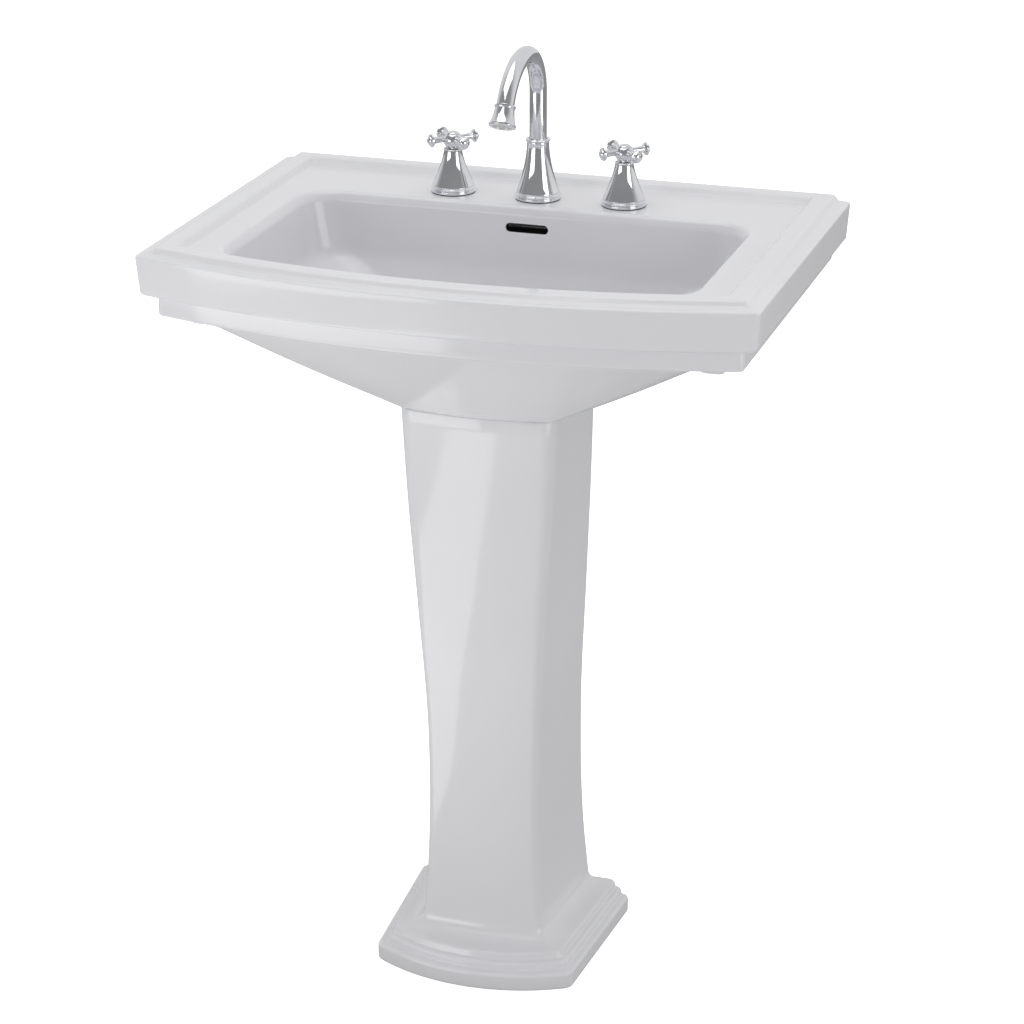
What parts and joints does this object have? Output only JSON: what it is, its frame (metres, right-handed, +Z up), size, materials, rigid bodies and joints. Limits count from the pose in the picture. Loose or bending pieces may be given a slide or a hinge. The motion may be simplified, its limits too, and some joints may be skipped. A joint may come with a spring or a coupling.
{
  "type": "pedestal sink",
  "caption": "White china basin on a hollow pedestal, with a widespread swivel spout, cross handles, an overflow slot, a pop-up drain and its trap.",
  "frame": {"origin": "on the floor, at the middle of the bounding box in plan", "axes": "+Z up, +Y towards the wall the basin hangs on, +X to the right of a person who faces the basin"},
  "size_m": [0.686, 0.4979, 1.0553],
  "materials": {
    "china_glaze": "gloss",
    "bright_chrome": "polished",
    "cast_brass": "machined",
    "copper_tube": "drawn",
    "black_rubber": "matte",
    "white_nylon": "matte",
    "stainless_steel": "brushed",
    "valve_ceramic": "satin"
  },
  "bodies": {
    "root": {"basin": "china_glaze", "cartridge_collars": "cast_brass", "compression_nuts": "cast_brass", "deck_locknuts": "cast_brass", "drain_body": "cast_brass", "drain_flange": "bright_chrome", "drain_gasket": "black_rubber", "drain_nut": "cast_brass", "drain_washer": "white_nylon", "left_bell": "bright_chrome", "left_cartridge": "cast_brass", "left_crossover": "copper_tube", "left_fixed_disc": "valve_ceramic", "left_valve_body": "cast_brass", "neck_rings": "bright_chrome", "pedestal": "china_glaze", "pivot_nut": "cast_brass", "pivot_seats": "white_nylon", "right_bell": "bright_chrome", "right_cartridge": "cast_brass", "right_crossover": "copper_tube", "right_fixed_disc": "valve_ceramic", "right_valve_body": "cast_brass", "spout_bell": "bright_chrome", "spout_collar": "bright_chrome", "spout_gasket": "black_rubber", "spout_shank": "cast_brass", "spout_tee": "cast_brass", "spout_washer": "stainless_steel", "tailpiece": "bright_chrome", "trap_arm": "bright_chrome", "trap_bend": "bright_chrome", "trap_nuts": "bright_chrome", "trap_washers": "black_rubber", "valve_gaskets": "black_rubber", "valve_washers": "stainless_steel"},
    "left_handle": {"left_moving_disc": "valve_ceramic", "left_stem": "cast_brass", "left_hub": "bright_chrome", "left_arms": "bright_chrome", "left_handle_screw": "stainless_steel", "left_button": "bright_chrome"},
    "right_handle": {"right_moving_disc": "valve_ceramic", "right_stem": "cast_brass", "right_hub": "bright_chrome", "right_arms": "bright_chrome", "right_handle_screw": "stainless_steel", "right_button": "bright_chrome"},
    "spout": {"gooseneck": "bright_chrome", "spout_o_rings": "black_rubber", "aerator_housing": "bright_chrome", "aerator_insert": "white_nylon"},
    "lift_linkage": {"lift_rod": "bright_chrome", "lift_knob": "bright_chrome", "clevis_strap": "stainless_steel", "clevis_screw": "stainless_steel", "spring_clip": "stainless_steel"},
    "pivot": {"pivot_rod": "bright_chrome"},
    "pop_up": {"stopper": "bright_chrome", "stopper_seal": "black_rubber"}
  },
  "joints": [
    {"name": "left_handle_turn", "type": "hinge", "parent": "root", "child": "left_handle", "pos_m": [-0.1016, 0.157, 0.93], "axis": [0, 0, 1], "range_deg": [0, 90]},
    {"name": "right_handle_turn", "type": "hinge", "parent": "root", "child": "right_handle", "pos_m": [0.1016, 0.157, 0.93], "axis": [0, 0, 1], "range_deg": [-90, 0]},
    {"name": "spout_swivel", "type": "hinge", "parent": "root", "child": "spout", "pos_m": [0, 0.157, 0.91], "axis": [0, 0, 1], "range_deg": [-60, 60]},
    {"name": "lift_rod_slide", "type": "slide", "parent": "root", "child": "lift_linkage", "axis": [0, 0, 1], "range_m": [0, 0.03]},
    {"name": "pivot_rod_turn", "type": "hinge", "parent": "root", "child": "pivot", "pos_m": [0, 0.027, 0.64], "axis": [1, 0, 0], "range_deg": [0, 11.3]},
    {"name": "stopper_slide", "type": "slide", "parent": "root", "child": "pop_up", "axis": [0, 0, 1], "range_m": [-0.0055, 0]}
  ],
  "couplings": [
    {"joint": "pivot_rod_turn", "follows": "lift_rod_slide", "rad_per_m": 6.4123},
    {"joint": "stopper_slide", "follows": "lift_rod_slide", "ratio": -0.18}
  ]
}
